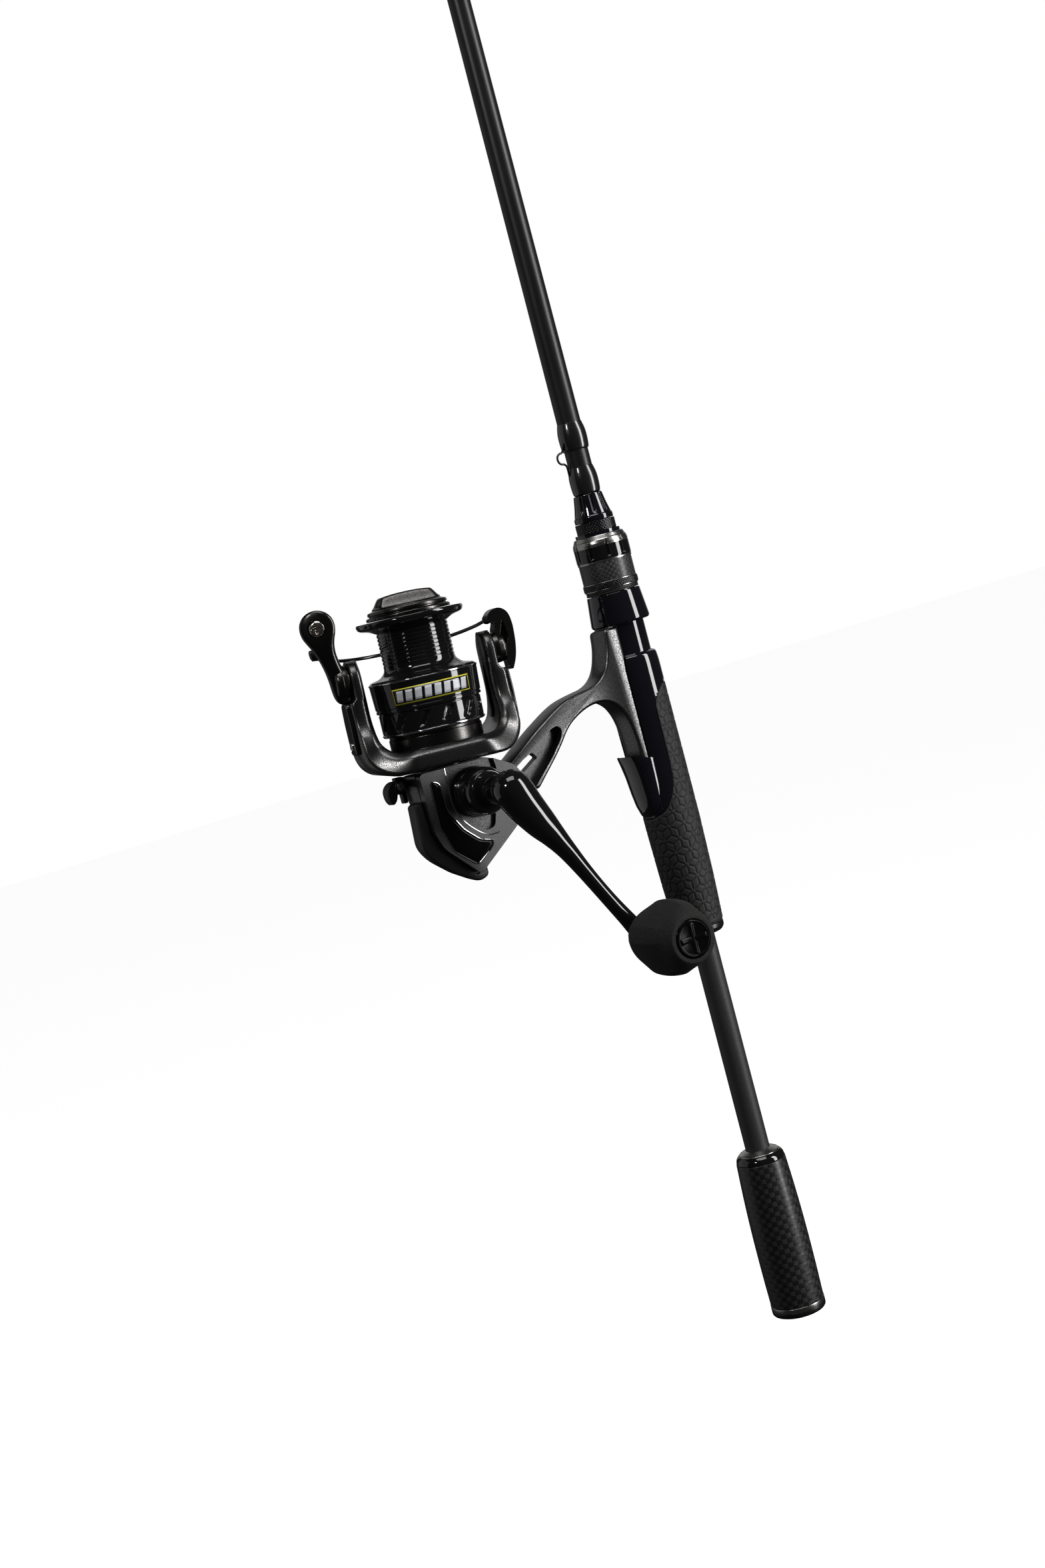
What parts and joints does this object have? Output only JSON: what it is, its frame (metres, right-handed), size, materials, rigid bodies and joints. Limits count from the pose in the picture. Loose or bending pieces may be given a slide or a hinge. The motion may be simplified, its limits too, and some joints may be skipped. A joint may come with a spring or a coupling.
{
  "type": "fishing rod and reel",
  "caption": "Spinning rod with a fixed-spool reel clamped under its seat: folding bail, turning rotor, cranked handle, oscillating spool and a row of line guides.",
  "frame": {"origin": "centre of the butt cap's end face, on the rod's axis", "axes": "+Z along the rod towards its tip, -X towards the reel and the guides, -Y the side the crank is on"},
  "size_m": [0.1665, 0.1468, 2.1406],
  "materials": {
    "blank_black": "gloss black composite tube",
    "butt_plastic": "gloss black",
    "silver": "satin silver",
    "carbon_check": "clear-coated woven composite",
    "grip_rubber": "dull charcoal",
    "seat_black": "gloss black",
    "thread": "varnished thread",
    "black_wire": "gloss black",
    "guide_ring": "polished hard ring",
    "nut_metal": "black with bright edges",
    "gunmetal": "moulded composite, satin fine-flake metallic paint",
    "matte_black": "matte black",
    "gloss_black": "gloss black on light alloy",
    "chrome": "bright",
    "steel": "machined",
    "gear_metal": "machined",
    "foam": "dull charcoal foam",
    "felt": "greased felt"
  },
  "bodies": {
    "rod": {"rod_blank": "blank_black", "butt_cap": "butt_plastic", "butt_ring": "silver", "butt_grip": "carbon_check", "butt_grip_collar": "butt_plastic", "butt_winding_check": "silver", "rear_grip_end_cap": "butt_plastic", "rear_grip": "grip_rubber", "reel_seat": "seat_black", "knurled_check": "nut_metal", "winding_check": "nut_metal", "thread_wraps": "thread", "hook_keeper": "black_wire", "guide_1_frame": "black_wire", "guide_1_insert": "guide_ring", "guide_2_frame": "black_wire", "guide_2_insert": "guide_ring", "guide_3_frame": "black_wire", "guide_3_insert": "guide_ring", "small_guide_frames": "black_wire", "small_guide_inserts": "guide_ring", "tip_top_frame": "black_wire", "tip_top_insert": "guide_ring", "gear_housing": "gunmetal", "side_cover": "gunmetal", "side_inset_panel": "gloss_black", "rear_cover": "matte_black", "crank_boss": "gloss_black", "far_side_cap": "gloss_black", "bearings": "steel", "housing_screws": "steel", "case_pins": "steel", "stop_lever_screw": "steel"},
    "hood": {"moving_hood": "seat_black"},
    "seat_nut": {"nut_washer": "matte_black", "nut_knurled_ring": "nut_metal", "nut_sleeve": "carbon_check", "locking_nut": "nut_metal"},
    "crank": {"crank_arm": "gloss_black", "drive_gear": "gear_metal", "knob_spindle": "steel"},
    "knob": {"knob_grip": "foam", "knob_cap": "gloss_black"},
    "rotor": {"rotor": "gunmetal", "rotor_nut": "steel", "pinion": "gear_metal", "arm_covers": "gloss_black", "arm_cover_screw": "steel"},
    "bail": {"bail_lever": "gunmetal", "bail_wire": "gloss_black", "bail_holder": "gunmetal"},
    "roller": {"line_roller": "chrome"},
    "slider_gear": {"slider_gear": "gear_metal"},
    "shaft": {"main_shaft": "steel", "crosshead": "gear_metal"},
    "spool": {"spool": "gloss_black", "drag_washers": "felt"},
    "drag": {"drag_knob": "gunmetal"},
    "stop": {"stop_lever": "matte_black"}
  },
  "joints": [
    {"name": "crank_turn", "type": "hinge", "parent": "rod", "child": "crank", "pos_m": [-0.10091, 0, 0.28376], "axis": [0, 1, 0], "continuous": true},
    {"name": "knob_spin", "type": "hinge", "parent": "crank", "child": "knob", "pos_m": [-0.06155, -0.0595, 0.20685], "axis": [0, -1, 0], "continuous": true},
    {"name": "rotor_turn", "type": "hinge", "parent": "rod", "child": "rotor", "pos_m": [-0.1064, 0, 0.284], "axis": [0.0436, 0, 0.999], "continuous": true},
    {"name": "slider_gear_turn", "type": "hinge", "parent": "rod", "child": "slider_gear", "pos_m": [-0.10154, 0, 0.26927], "axis": [0, 1, 0], "continuous": true},
    {"name": "bail_swing", "type": "hinge", "parent": "rotor", "child": "bail", "pos_m": [-0.10384, 0, 0.34254], "axis": [0.9772, -0.2079, -0.0427], "range_deg": [0, 105]},
    {"name": "roller_spin", "type": "hinge", "parent": "bail", "child": "roller", "pos_m": [-0.14504, 0.00286, 0.36937], "axis": [-0.5294, -0.848, 0.0231], "continuous": true},
    {"name": "shaft_stroke", "type": "slide", "parent": "rod", "child": "shaft", "axis": [0.0436, 0, 0.999], "range_m": [0, 0.012]},
    {"name": "spool_spin", "type": "hinge", "parent": "shaft", "child": "spool", "pos_m": [-0.1064, 0, 0.284], "axis": [0.0436, 0, 0.999], "continuous": true},
    {"name": "drag_knob_turn", "type": "hinge", "parent": "shaft", "child": "drag", "pos_m": [-0.1064, 0, 0.284], "axis": [0.0436, 0, 0.999], "range_deg": [-720, 0]},
    {"name": "stop_lever_turn", "type": "hinge", "parent": "rod", "child": "stop", "pos_m": [-0.12956, 0, 0.29462], "axis": [0, 1, 0], "range_deg": [0, 15]},
    {"name": "hood_slide", "type": "slide", "parent": "rod", "child": "hood", "axis": [0, 0, 1], "range_m": [0, 0.0085]},
    {"name": "nut_turn", "type": "hinge", "parent": "hood", "child": "seat_nut", "pos_m": [0, 0, 0.34], "axis": [0, 0, 1], "range_deg": [0, 1530]}
  ],
  "couplings": [
    {"joint": "rotor_turn", "follows": "crank_turn", "ratio": 5},
    {"joint": "slider_gear_turn", "follows": "crank_turn", "ratio": -0.66667},
    {"joint": "hood_slide", "follows": "nut_turn", "m_per_rad": 0.00031831}
  ]
}
